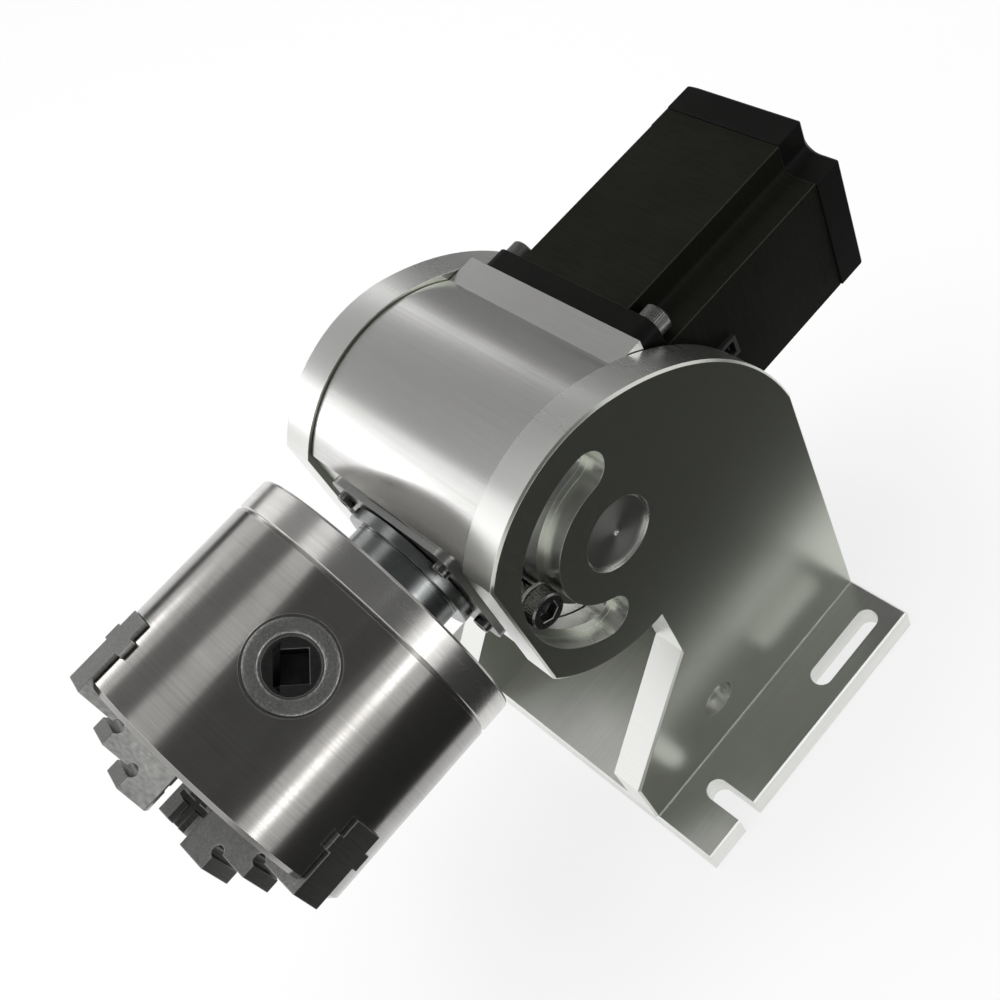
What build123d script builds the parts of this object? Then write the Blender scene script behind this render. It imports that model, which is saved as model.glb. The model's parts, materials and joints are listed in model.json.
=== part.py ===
from build123d import *

import math
import os

# Laser rotary axis: a three-jaw chuck on a motor-driven spindle that tilts between two uprights.
# +X points out of the chuck, +Y to the right-hand upright, +Z up. The origin is on the underside
# of the base, midway between the uprights and below the tilt axis. All sizes are in millimetres.

# Frame: base plate and uprights
base_thickness = 8.0
base_front_x = 33.2
base_back_x = -60.4
flange_width = 20.0
tilt_height = 111.4
upright_gap = 60.0
upright_thickness = 10.0
head_radius = 39.3
chord_x = 33.2
head_kink_angle = 109.0
back_arc_radius = 72.0
shoulder_drop = 17.0
neck_x = 0.4
neck_drop = 59.5
edge_chamfer = 0.6

# Slots in the base flanges
slot_width = 6.6
long_slot_length = 28.6
long_slot_x = -40.9
open_slot_x = 16.2
open_slot_depth = 14.3
long_slot_inset = 8.5

# Cross hole low in each upright
cross_hole_x = -2.0
cross_hole_height = 18.5
cross_hole_radius = 3.3
cross_hole_sink_radius = 5.4
cross_hole_sink_depth = 5.0

# Tilt pivots and locks
pivot_radius = 10.2
pivot_recess = 0.8
pivot_seat_y = 22.0
pivot_centre_mark = 1.2
pivot_mark_tip = 0.01
running_clearance = 0.05
lock_pitch_radius = 24.8
lock_slot_width = 6.8
lock_sink_width = 11.6
lock_sink_depth = 5.2
lock_slot_low = -60.0
lock_slot_high = 90.0
lock_shank_radius = 3.0
lock_head_radius = 4.9
lock_head_height = 4.2
lock_washer_radius = 5.4
lock_washer_thickness = 0.8
lock_thread_length = 7.5
face_gap = 0.1

# Drum that carries the spindle
drum_radius = 38.4
drum_flat_x = 31.6
drum_shoulder = 30.0
side_gap = 0.3
bearing_outer_radius = 21.0
bearing_inner_radius = 10.0
bearing_width = 12.0
bearing_ring_wall = 3.2
ball_radius = 3.0
ball_count = 7
ball_clearance = 0.08
coupling_bore_radius = 17.0

# Spindle and its front retainer
retainer_thickness = 1.8
retainer_half_y = 22.5
retainer_half_z = 19.6
retainer_bore_radius = 17.0
retainer_corner = 4.0
retainer_screw_y = 18.6
retainer_screw_z = 13.0
retainer_screw_head_radius = 2.5
retainer_screw_head_height = 1.7
retainer_screw_radius = 1.5
retainer_screw_length = 8.0
collar_radius = 19.2
collar_gap = 0.4
collar_end_x = 36.8
spindle_shoulder_radius = 12.8
spindle_tail_x = -6.0
journal_overrun = 1.0
spindle_tail_radius = 6.0
neck_radius = 15.8
coupling_radius = 12.5
coupling_front_x = 4.0
coupling_back_x = -20.0
coupling_slit = 0.8

# Chuck
chuck_radius = 40.0
backplate_back_x = 44.6
chuck_back_x = 53.4
chuck_front_x = 105.0
rim_chamfer = 1.2
chuck_bore_radius = 7.5
shell_inner_radius = 33.2
cover_clearance = 0.1
pinion_x = 73.0
pinion_angle = 56.2
pinion_radius = 6.4
pinion_clearance = 0.05
pinion_recess = 0.4
pinion_inner_end = 21.5
pinion_socket = 7.4
pinion_socket_depth = 9.0
pinion_spot_radius = 11.1
pinion_spot_depth = 2.2
spot_ring_inner = 6.9
spot_ring_outer = 10.7
spot_ring_height = 1.2
scroll_back_x = 80.0
scroll_thickness = 5.5
scroll_gap = 0.3
hub_radius = 12.7

# Jaws and their guides
jaw_width = 12.0
jaw_guide_depth = 18.0
jaw_gap = 0.15
jaw_tongue_x = 94.0
jaw_tongue_height = 4.4
jaw_tongue_reach = 2.0
jaw_tip_radius = 7.8
jaw_outer_radius = 40.6
jaw_step_radii = (28.2, 18.6)
jaw_front_rises = (2.6, 7.8, 13.0)
jaw_relief_radius = 1.5
jaw_relief_offset = 0.2
jaw_tip_half_width = 2.6
jaw_cross_groove = 1.6
jaw_cross_depth = 1.2

# Motor
motor_half = 28.2
motor_corner_notch = 9.6
motor_front_x = -32.6
motor_flange_thickness = 7.0
motor_flange_corner = 4.0
motor_cap_seam_x = -97.4
motor_rear_x = -107.6
motor_stack_inset = 0.5
motor_notch_round = 3.0
motor_corner_round = 1.0
motor_edge_chamfer = 1.6
motor_pilot_radius = 19.05
motor_pilot_length = 1.6
motor_shaft_radius = 4.0
motor_shaft_length = 21.0
motor_shaft_clearance = 1.0
motor_bolt_offset = 23.57
motor_bolt_radius = 2.5
motor_bolt_length = 16.0
motor_bolt_head_radius = 3.9
motor_bolt_head_height = 4.4
socket_x = -53.0
socket_length = 11.0
socket_height = 6.5
socket_proud = 1.2
socket_depth = 4.0
socket_wall = 1.2
socket_floor = 1.0
socket_pins = 4
socket_pin_pitch = 2.0
socket_pin_size = 0.7
socket_pin_recess = 0.8
rear_boss_radius = 11.0
rear_boss_depth = 0.8
cap_screw_offset = 15.2
cap_screw_head_radius = 2.8
cap_screw_sink = 2.4
cap_screw_head_height = 2.0
cap_screw_clearance = 0.3
cap_screw_hex_radius = 1.3
cap_screw_hex_depth = 1.2

# Screws from the base into the uprights
foot_screw_x = (-46.0, -14.0, 20.0)
foot_screw_radius = 2.5
foot_screw_length = 20.0
foot_head_radius = 4.25
foot_head_height = 4.6
foot_head_clearance = 0.4

# Screws that hold the chuck to its backplate
chuck_screw_pitch = 36.2
chuck_screw_radius = 2.0
chuck_screw_length = 16.0
chuck_screw_head_radius = 3.1
chuck_screw_head_height = 4.0
chuck_screw_recess = 0.5
chuck_screw_clearance = 0.2

# Sockets of the cap screws, as shares of their heads, and the overrun of cuts
hex_radius_share = 0.55
hex_depth_share = 0.6
cut_overrun = 5.0

# Places that follow from the sizes above
pivot_z = base_thickness + tilt_height
inner_y = upright_gap / 2
outer_y = inner_y + upright_thickness
base_half_width = outer_y + flange_width
slot_line_y = base_half_width - long_slot_inset
foot_line_y = inner_y + upright_thickness / 2
drum_half_width = inner_y - side_gap
front_bearing_x = drum_flat_x - bearing_width
back_bearing_x = front_bearing_x - bearing_width
foot_seat_z = foot_head_height + foot_head_clearance
chuck_screw_seat_x = backplate_back_x + chuck_screw_head_height + chuck_screw_recess
shaft_tip_x = motor_front_x + motor_shaft_length
ball_pitch_radius = (bearing_outer_radius + bearing_inner_radius) / 2
motor_flange_back_x = motor_front_x - motor_flange_thickness
jaw_angles = [pinion_angle + 60, pinion_angle + 180, pinion_angle + 300]
pinion_angles = [pinion_angle, pinion_angle + 120, pinion_angle + 240]


def polar(radius, degrees):
    """A point on a circle round the origin of a sketch."""
    return (radius * math.cos(math.radians(degrees)), radius * math.sin(math.radians(degrees)))


def side_plane(y):
    """Looking from +Y: local x along +X, local y along +Z from the tilt axis. It extrudes towards -Y."""
    return Plane(origin=(0, y, pivot_z), x_dir=(1, 0, 0), z_dir=(0, -1, 0))


def cross_plane(x):
    """Across the chuck axis: local x along +Y, local y along +Z. It extrudes towards +X."""
    return Plane(origin=(x, 0, pivot_z), x_dir=(0, 1, 0), z_dir=(1, 0, 0))


def rod_x(x_from, x_to, radius, y=0.0, z=0.0):
    """A round rod along X, offset by y and z from the chuck axis."""
    rod = extrude(cross_plane(x_from) * Circle(radius), x_to - x_from)
    return Pos(0, y, z) * rod


def rod_y(y_from, y_to, radius, x=0.0, z=0.0):
    """A round rod along Y, offset by x and z from the tilt axis."""
    rod = extrude(side_plane(y_to) * Circle(radius), y_to - y_from)
    return Pos(x, 0, z) * rod


def round_about_x(solid, degrees):
    """The solid turned about the chuck axis."""
    return Pos(0, 0, pivot_z) * Rot(degrees, 0, 0) * Pos(0, 0, -pivot_z) * solid


def radial_plane(x, degrees, radius):
    """Square to a spoke of the chuck: local x along +X, extrudes outwards."""
    spoke_y, spoke_z = polar(1, degrees)
    origin = (x, spoke_y * radius, pivot_z + spoke_z * radius)
    return Plane(origin=origin, x_dir=(1, 0, 0), z_dir=(0, spoke_y, spoke_z))


def socket_screw(seat, shank_radius, length, head_radius, head_height):
    """A cap screw: its head stands on the seat plane and its shank goes in behind it."""
    shank = extrude(seat * Circle(shank_radius), -length)
    head = extrude(seat * Circle(head_radius), head_height)
    hexagon = RegularPolygon(head_radius * hex_radius_share, 6)
    recess = extrude(seat.offset(head_height) * hexagon, -head_height * hex_depth_share)
    return head + shank - recess


def as_group(solids):
    """Separate solids that share one node."""
    return Compound(children=list(solids))


def upright():
    """The right-hand upright: a round head, a leaning back and a foot that steps forward."""
    chord_top = math.degrees(math.acos(chord_x / head_radius))
    neck_angle = -math.degrees(math.acos(neck_x / head_radius))
    foot_drop = neck_drop + base_front_x - neck_x
    kink = polar(head_radius, head_kink_angle)
    shoulder = (base_back_x, -shoulder_drop)
    with BuildSketch(side_plane(outer_y)) as outline:
        with BuildLine():
            head_middle = polar(head_radius, (chord_top + head_kink_angle) / 2)
            ThreePointArc(polar(head_radius, chord_top), head_middle, kink)
            RadiusArc(kink, shoulder, -back_arc_radius)
            Polyline(shoulder, (base_back_x, -tilt_height), (base_front_x, -tilt_height),
                     (base_front_x, -foot_drop), (neck_x, -neck_drop), polar(head_radius, neck_angle))
            low_middle = polar(head_radius, (neck_angle - chord_top) / 2)
            ThreePointArc(polar(head_radius, neck_angle), low_middle, polar(head_radius, -chord_top))
            Line(polar(head_radius, -chord_top), polar(head_radius, chord_top))
        make_face()
    plate = extrude(outline.sketch, upright_thickness)
    rim = plate.faces().sort_by(Axis.Y)[-1].edges()
    plate = chamfer(rim.filter_by(lambda edge: abs(edge.center().X - neck_x) > edge_chamfer), edge_chamfer)
    slot_arc = CenterArc((0, 0), lock_pitch_radius, lock_slot_low, lock_slot_high - lock_slot_low)
    plate -= extrude(side_plane(outer_y) * SlotArc(slot_arc, lock_slot_width), upright_thickness)
    plate -= extrude(side_plane(outer_y) * SlotArc(slot_arc, lock_sink_width), lock_sink_depth)
    plate -= rod_y(inner_y, outer_y, pivot_radius + running_clearance)
    hole_z = cross_hole_height - tilt_height
    plate -= rod_y(inner_y, outer_y, cross_hole_radius, cross_hole_x, hole_z)
    plate -= rod_y(outer_y - cross_hole_sink_depth, outer_y, cross_hole_sink_radius, cross_hole_x, hole_z)
    for screw_x in foot_screw_x:
        depth = foot_screw_length - (base_thickness - foot_seat_z)
        hole = extrude(Circle(foot_screw_radius), depth)
        plate -= Pos(screw_x, foot_line_y, base_thickness) * hole
    return plate


def foot_screws():
    """Cap screws that go up through the base into the feet of both uprights."""
    screws = []
    for screw_x in foot_screw_x:
        for side in (1, -1):
            seat = Plane(origin=(screw_x, side * foot_line_y, foot_seat_z), z_dir=(0, 0, -1))
            screws.append(socket_screw(seat, foot_screw_radius, foot_screw_length,
                                       foot_head_radius, foot_head_height))
    return as_group(screws)


def base_plate():
    """The base: a plate with a closed slot and an open slot in each side flange."""
    length = base_front_x - base_back_x
    middle_x = (base_front_x + base_back_x) / 2
    plate = Pos(middle_x, 0, base_thickness / 2) * Box(length, 2 * base_half_width, base_thickness)
    plate = chamfer(plate.faces().sort_by(Axis.Z)[-1].edges(), edge_chamfer)
    for side in (1, -1):
        long_slot = SlotOverall(long_slot_length, slot_width)
        plate -= Pos(long_slot_x, side * slot_line_y, 0) * extrude(long_slot, base_thickness)
        mouth = SlotOverall(2 * open_slot_depth, slot_width, rotation=90)
        plate -= Pos(open_slot_x, side * base_half_width, 0) * extrude(mouth, base_thickness)
        for screw_x in foot_screw_x:
            place = Pos(screw_x, side * foot_line_y, 0)
            plate -= place * extrude(Circle(foot_screw_radius), base_thickness)
            plate -= place * extrude(Circle(foot_head_radius + foot_head_clearance), foot_seat_z)
    return plate


def drum():
    """The block between the uprights: round in front, square behind, bored for the spindle."""
    flat_angle = math.degrees(math.acos(drum_flat_x / drum_radius))
    shoulder_angle = 180 - math.degrees(math.asin(drum_shoulder / drum_radius))
    with BuildSketch(side_plane(drum_half_width)) as outline:
        with BuildLine():
            top_middle = polar(drum_radius, (flat_angle + shoulder_angle) / 2)
            ThreePointArc(polar(drum_radius, flat_angle), top_middle, polar(drum_radius, shoulder_angle))
            Polyline(polar(drum_radius, shoulder_angle), (motor_front_x, drum_shoulder),
                     (motor_front_x, -drum_shoulder), polar(drum_radius, -shoulder_angle))
            low_middle = polar(drum_radius, -(flat_angle + shoulder_angle) / 2)
            ThreePointArc(polar(drum_radius, -shoulder_angle), low_middle, polar(drum_radius, -flat_angle))
            Line(polar(drum_radius, -flat_angle), polar(drum_radius, flat_angle))
        make_face()
    block = extrude(outline.sketch, 2 * drum_half_width)
    block -= rod_x(back_bearing_x, drum_flat_x, bearing_outer_radius)
    block -= rod_x(motor_front_x, back_bearing_x, coupling_bore_radius)
    block -= rod_x(motor_front_x, motor_front_x + motor_pilot_length + face_gap, motor_pilot_radius)
    for side in (1, -1):
        low, high = sorted((side * pivot_seat_y, side * drum_half_width))
        block -= rod_y(low, high, pivot_radius)
        low, high = sorted((side * (drum_half_width - lock_thread_length), side * drum_half_width))
        block -= rod_y(low, high, lock_shank_radius, lock_pitch_radius, 0)
        for up in (1, -1):
            block -= rod_x(drum_flat_x - retainer_screw_length, drum_flat_x, retainer_screw_radius,
                           side * retainer_screw_y, up * retainer_screw_z)
            block -= rod_x(motor_front_x, motor_front_x + motor_bolt_length - motor_flange_thickness,
                           motor_bolt_radius, side * motor_bolt_offset, up * motor_bolt_offset)
    return block


def pivot_pin(side):
    """A pin set in the drum's side that turns in the upright's bore, its face turned with a centre mark."""
    end_y = outer_y - pivot_recess
    pin = rod_y(pivot_seat_y, end_y, pivot_radius)
    cone = Cone(pivot_mark_tip, pivot_centre_mark, pivot_centre_mark)
    mark = Pos(0, end_y - pivot_centre_mark / 2, pivot_z) * Rot(-90, 0, 0) * cone
    pin -= mark
    return pin if side > 0 else mirror(pin, Plane.XZ)


def lock_washer(side):
    """The flat washer under a lock screw, in the wide part of the curved slot."""
    low = outer_y - lock_sink_depth + face_gap
    ring = rod_y(low, low + lock_washer_thickness, lock_washer_radius, lock_pitch_radius)
    ring -= rod_y(low, low + lock_washer_thickness, lock_shank_radius + face_gap, lock_pitch_radius)
    return ring if side > 0 else mirror(ring, Plane.XZ)


def lock_screw(side):
    """The cap screw that clamps the drum to an upright through the curved slot."""
    seat_y = outer_y - lock_sink_depth + face_gap + lock_washer_thickness
    seat = Plane(origin=(lock_pitch_radius, seat_y, pivot_z), x_dir=(1, 0, 0), z_dir=(0, 1, 0))
    length = seat_y - drum_half_width + lock_thread_length
    shank_radius = lock_shank_radius - running_clearance
    screw = socket_screw(seat, shank_radius, length, lock_head_radius, lock_head_height)
    return screw if side > 0 else mirror(screw, Plane.XZ)


def bearing_centres():
    """The middles of the two spindle bearings along the chuck axis."""
    return [front_bearing_x + bearing_width / 2, back_bearing_x + bearing_width / 2]


def bearing_ring(centre_x, inner, outer):
    """One race of a ball bearing with its ball groove."""
    half_width = bearing_width / 2
    ring = rod_x(centre_x - half_width + face_gap / 2, centre_x + half_width - face_gap / 2, outer)
    ring -= rod_x(centre_x - half_width, centre_x + half_width, inner)
    groove = Torus(ball_pitch_radius, ball_radius + ball_clearance)
    return ring - Pos(centre_x, 0, pivot_z) * Rot(0, 90, 0) * groove


def bearing_balls(centre_x):
    """The balls of one bearing."""
    ball = Pos(centre_x, 0, pivot_z + ball_pitch_radius) * Sphere(ball_radius)
    return [round_about_x(ball, 360 / ball_count * index) for index in range(ball_count)]


def bearing_retainer():
    """The thin plate on the drum's flat that keeps the bearings in."""
    outline = RectangleRounded(2 * retainer_half_y, 2 * retainer_half_z, retainer_corner)
    plate = extrude(cross_plane(drum_flat_x) * outline, retainer_thickness)
    plate -= rod_x(drum_flat_x, drum_flat_x + retainer_thickness, retainer_bore_radius)
    for side in (1, -1):
        for up in (1, -1):
            plate -= rod_x(drum_flat_x, drum_flat_x + retainer_thickness, retainer_screw_radius,
                           side * retainer_screw_y, up * retainer_screw_z)
    return plate


def retainer_screws():
    """Four low-headed screws in the corners of the retainer."""
    screws = []
    seat_x = drum_flat_x + retainer_thickness
    screw_end_x = drum_flat_x - retainer_screw_length
    for side in (1, -1):
        for up in (1, -1):
            origin = (seat_x, side * retainer_screw_y, pivot_z + up * retainer_screw_z)
            seat = Plane(origin=origin, x_dir=(0, 1, 0), z_dir=(1, 0, 0))
            screws.append(socket_screw(seat, retainer_screw_radius, seat_x - screw_end_x,
                                       retainer_screw_head_radius, retainer_screw_head_height))
    return as_group(screws)


def spindle():
    """The spindle: tail, bearing journal, shoulder, collar and neck in one turned piece."""
    collar_back_x = drum_flat_x + retainer_thickness + collar_gap
    journal_back_x = back_bearing_x - journal_overrun
    shaft = rod_x(journal_back_x, drum_flat_x, bearing_inner_radius)
    shaft += rod_x(spindle_tail_x, journal_back_x, spindle_tail_radius)
    shaft += rod_x(drum_flat_x, collar_back_x, spindle_shoulder_radius)
    shaft += rod_x(collar_back_x, collar_end_x, collar_radius)
    shaft += rod_x(collar_end_x, backplate_back_x, neck_radius)
    return shaft


def shaft_coupling():
    """The clamping sleeve between the motor's shaft and the spindle's tail."""
    sleeve = rod_x(coupling_back_x, coupling_front_x, coupling_radius)
    sleeve = chamfer(sleeve.edges(), edge_chamfer)
    sleeve -= rod_x(spindle_tail_x, coupling_front_x, spindle_tail_radius)
    sleeve -= rod_x(coupling_back_x, shaft_tip_x, motor_shaft_radius)
    slit_length = coupling_front_x - coupling_back_x
    slit = Box(slit_length, coupling_slit, coupling_radius)
    return sleeve - Pos((coupling_front_x + coupling_back_x) / 2, 0, pivot_z + coupling_radius / 2) * slit


def chuck_backplate():
    """The adapter plate between the spindle and the chuck."""
    plate = rod_x(backplate_back_x, chuck_back_x, chuck_radius)
    plate = chamfer(plate.edges(), edge_chamfer)
    for angle in jaw_angles:
        spoke_y, spoke_z = polar(chuck_screw_pitch, angle)
        plate -= rod_x(backplate_back_x, chuck_back_x, chuck_screw_radius, spoke_y, spoke_z)
        plate -= rod_x(backplate_back_x, chuck_screw_seat_x, chuck_screw_head_radius + chuck_screw_clearance,
                       spoke_y, spoke_z)
    return plate


def chuck_screws():
    """Three cap screws from the back of the backplate into the chuck's shell."""
    screws = []
    for angle in jaw_angles:
        spoke_y, spoke_z = polar(chuck_screw_pitch, angle)
        origin = (chuck_screw_seat_x, spoke_y, pivot_z + spoke_z)
        seat = Plane(origin=origin, x_dir=(0, 1, 0), z_dir=(-1, 0, 0))
        screws.append(socket_screw(seat, chuck_screw_radius, chuck_screw_length, chuck_screw_head_radius,
                                   chuck_screw_head_height))
    return as_group(screws)


def guide_cut(half_gap):
    """The room of a jaw guide: a straight slot with a tongue groove each side, pointing along +Z."""
    depth = jaw_guide_depth + cut_overrun
    length = chuck_radius + cut_overrun
    slot_x = chuck_front_x - jaw_guide_depth + depth / 2
    slot = Pos(slot_x, 0, length / 2) * Box(depth, jaw_width + 2 * half_gap, length)
    tongue_height = jaw_tongue_height + 2 * half_gap
    tongue_width = jaw_width + 2 * (jaw_tongue_reach + half_gap)
    return slot + Pos(jaw_tongue_x, 0, length / 2) * Box(tongue_height, tongue_width, length)


def chuck_body():
    """The chuck's shell: jaw guides in the front, pinion holes in the side, room for the scroll behind."""
    body = rod_x(chuck_back_x, chuck_front_x, chuck_radius)
    body = chamfer(body.edges().sort_by(Axis.X)[-1], rim_chamfer)
    body = chamfer(body.edges().sort_by(Axis.X)[0], edge_chamfer)
    body -= rod_x(chuck_back_x, chuck_front_x, chuck_bore_radius)
    body -= rod_x(chuck_back_x, scroll_back_x + scroll_thickness + scroll_gap, shell_inner_radius)
    guide = Pos(0, 0, pivot_z) * guide_cut(jaw_gap)
    for angle in jaw_angles:
        body -= round_about_x(guide, angle - 90)
        spoke_y, spoke_z = polar(chuck_screw_pitch, angle)
        depth = chuck_screw_length - (chuck_back_x - chuck_screw_seat_x)
        body -= rod_x(chuck_back_x, chuck_back_x + depth, chuck_screw_radius, spoke_y, spoke_z)
    for angle in pinion_angles:
        hole = radial_plane(pinion_x, angle, shell_inner_radius - cut_overrun)
        body -= extrude(hole * Circle(pinion_radius + pinion_clearance), chuck_radius)
        spot = radial_plane(pinion_x, angle, chuck_radius - pinion_spot_depth)
        body -= extrude(spot * Circle(pinion_spot_radius), chuck_radius)
    return body


def scroll_cover():
    """The thick cover that closes the chuck's back, with the inner seats of the pinions."""
    cover = rod_x(chuck_back_x, scroll_back_x - scroll_gap, shell_inner_radius - cover_clearance)
    cover += rod_x(chuck_back_x, scroll_back_x + scroll_thickness + scroll_gap, hub_radius)
    cover -= rod_x(chuck_back_x, chuck_front_x, chuck_bore_radius)
    for angle in pinion_angles:
        hole = radial_plane(pinion_x, angle, pinion_inner_end - scroll_gap)
        cover -= extrude(hole * Circle(pinion_radius + pinion_clearance), chuck_radius)
    return cover


def scroll_plate():
    """The disc that the pinions turn and that moves all three jaws together."""
    end_x = scroll_back_x + scroll_thickness
    disc = rod_x(scroll_back_x, end_x, shell_inner_radius - scroll_gap)
    return disc - rod_x(scroll_back_x, end_x, hub_radius + scroll_gap)


def pinion(angle):
    """A key pinion with its square socket."""
    outer = chuck_radius - pinion_spot_depth - pinion_recess
    start = radial_plane(pinion_x, angle, pinion_inner_end)
    gear = extrude(start * Circle(pinion_radius), outer - pinion_inner_end)
    mouth = radial_plane(pinion_x, angle, outer)
    square = Rectangle(pinion_socket, pinion_socket, rotation=45)
    return gear - extrude(mouth * square, -pinion_socket_depth)


def spot_rings():
    """The three rough rings that keep the pinions in, one in each spot face."""
    rings = []
    for angle in pinion_angles:
        seat = radial_plane(pinion_x, angle, chuck_radius - pinion_spot_depth)
        ring = extrude(seat * (Circle(spot_ring_outer) - Circle(spot_ring_inner)), spot_ring_height)
        rings.append(ring)
    return as_group(rings)


def jaw(angle):
    """A stepped jaw: bevelled tip, two steps with relief grooves, and a tongue each side."""
    back_x = chuck_front_x - jaw_guide_depth + jaw_gap
    fronts = [chuck_front_x + rise for rise in jaw_front_rises]
    outer_step, inner_step = jaw_step_radii
    profile_points = [
        (back_x, jaw_tip_radius), (fronts[2], jaw_tip_radius), (fronts[2], inner_step),
        (fronts[1], inner_step), (fronts[1], outer_step), (fronts[0], outer_step),
        (fronts[0], jaw_outer_radius), (back_x, jaw_outer_radius)]
    middle = Plane(origin=(0, jaw_width / 2, pivot_z), x_dir=(1, 0, 0), z_dir=(0, -1, 0))
    block = extrude(middle * Polygon(*profile_points, align=None), jaw_width)
    tongue_length = jaw_outer_radius - jaw_tip_radius
    tongue = Box(jaw_tongue_height, jaw_width + 2 * jaw_tongue_reach, tongue_length)
    block += Pos(jaw_tongue_x, 0, pivot_z + jaw_tip_radius + tongue_length / 2) * tongue
    for low, radius in ((fronts[0], outer_step), (fronts[1], inner_step)):
        groove = Pos(low + jaw_relief_offset, radius + jaw_relief_offset) * Circle(jaw_relief_radius)
        block -= extrude(middle * groove, jaw_width)
    for side in (1, -1):
        bevel_width = jaw_width / 2 + jaw_tongue_reach - jaw_tip_half_width
        bevel_depth = bevel_width * math.tan(math.radians(30))
        wedge_points = [(0, 0), (bevel_depth, 0), (0, bevel_width)]
        corner = Plane(origin=(back_x, side * (jaw_width / 2 + jaw_tongue_reach), pivot_z + jaw_tip_radius),
                       x_dir=(0, 0, 1), z_dir=(side, 0, 0))
        length = fronts[2] - back_x
        block -= extrude(corner * Polygon(*wedge_points, align=None), side * length)
    slot_length = fronts[2] - chuck_front_x
    cross = Box(slot_length, jaw_cross_groove, 2 * jaw_cross_depth)
    cross += Box(jaw_cross_groove, jaw_width, 2 * jaw_cross_depth)
    block -= Pos((fronts[2] + chuck_front_x) / 2, 0, pivot_z + jaw_tip_radius) * cross
    return round_about_x(block, angle - 90)


def motor_section(half):
    """The motor's square section with a rounded notch in each corner."""
    section = RectangleRounded(2 * half, 2 * half, motor_corner_round)
    for side in (1, -1):
        for up in (1, -1):
            cut = RectangleRounded(2 * motor_corner_notch, 2 * motor_corner_notch, motor_notch_round)
            section -= Pos(side * motor_half, up * motor_half) * cut
    return section


def motor_flange():
    """The motor's square front plate with its pilot."""
    section = RectangleRounded(2 * motor_half, 2 * motor_half, motor_flange_corner)
    plate = extrude(cross_plane(motor_flange_back_x) * section, motor_flange_thickness)
    plate += rod_x(motor_front_x, motor_front_x + motor_pilot_length, motor_pilot_radius)
    shaft_hole = motor_shaft_radius + motor_shaft_clearance
    plate -= rod_x(motor_flange_back_x, motor_front_x + motor_pilot_length, shaft_hole)
    for side in (1, -1):
        for up in (1, -1):
            plate -= rod_x(motor_flange_back_x, motor_front_x, motor_bolt_radius,
                           side * motor_bolt_offset, up * motor_bolt_offset)
    return plate


def motor_stack():
    """The laminated middle of the motor, a little smaller than its end caps."""
    section = motor_section(motor_half - motor_stack_inset)
    stack = extrude(cross_plane(motor_cap_seam_x) * section, motor_flange_back_x - motor_cap_seam_x)
    stack -= rod_x(motor_cap_seam_x, motor_flange_back_x, motor_shaft_radius + motor_shaft_clearance)
    room = Box(socket_length, 2 * socket_depth, socket_height)
    return stack - Pos(socket_x, motor_half - motor_stack_inset, pivot_z) * room


def motor_rear_cap():
    """The motor's rear cap with softened edges and a shallow bearing boss."""
    length = motor_cap_seam_x - motor_rear_x
    cap = extrude(cross_plane(motor_rear_x) * motor_section(motor_half), length)
    cap = chamfer(cap.faces().sort_by(Axis.X)[0].edges(), motor_edge_chamfer)
    cap -= rod_x(motor_rear_x, motor_rear_x + rear_boss_depth, rear_boss_radius)
    for side in (1, -1):
        for up in (1, -1):
            cap -= rod_x(motor_rear_x, motor_rear_x + cap_screw_sink,
                         cap_screw_head_radius + cap_screw_clearance,
                         side * cap_screw_offset, up * cap_screw_offset)
    return cap


def motor_cap_screws():
    """Four screws sunk in the rear cap."""
    screws = []
    seat_x = motor_rear_x + cap_screw_sink
    for side in (1, -1):
        for up in (1, -1):
            origin = (seat_x, side * cap_screw_offset, pivot_z + up * cap_screw_offset)
            seat = Plane(origin=origin, x_dir=(0, 1, 0), z_dir=(-1, 0, 0))
            head = extrude(seat * Circle(cap_screw_head_radius), cap_screw_head_height)
            hexagon = seat.offset(cap_screw_head_height) * RegularPolygon(cap_screw_hex_radius, 6)
            screws.append(head - extrude(hexagon, -cap_screw_hex_depth))
    return as_group(screws)


def motor_bolts():
    """Four bolts through the motor's front plate into the drum."""
    bolts = []
    for side in (1, -1):
        for up in (1, -1):
            origin = (motor_flange_back_x, side * motor_bolt_offset, pivot_z + up * motor_bolt_offset)
            seat = Plane(origin=origin, x_dir=(0, 1, 0), z_dir=(-1, 0, 0))
            bolts.append(socket_screw(seat, motor_bolt_radius, motor_bolt_length, motor_bolt_head_radius,
                                      motor_bolt_head_height))
    return as_group(bolts)


def motor_shaft():
    """The motor's shaft, from its rear cap to the coupling."""
    return rod_x(motor_cap_seam_x, shaft_tip_x, motor_shaft_radius)


def motor_socket():
    """The lead socket in the motor's side, with its pins."""
    face_y = motor_half - motor_stack_inset
    mouth_y = face_y + socket_proud
    height = socket_depth + socket_proud
    room_height = height - socket_floor
    pin_height = room_height - socket_pin_recess
    shell = Pos(socket_x, mouth_y - height / 2, pivot_z) * Box(socket_length, height, socket_height)
    room = Box(socket_length - 2 * socket_wall, room_height, socket_height - 2 * socket_wall)
    shell -= Pos(socket_x, mouth_y - room_height / 2, pivot_z) * room
    for index in range(socket_pins):
        pin_x = socket_x + (index - (socket_pins - 1) / 2) * socket_pin_pitch
        pin_y = mouth_y - room_height + pin_height / 2
        shell += Pos(pin_x, pin_y, pivot_z) * Box(socket_pin_size, pin_height, socket_pin_size)
    return shell


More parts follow.
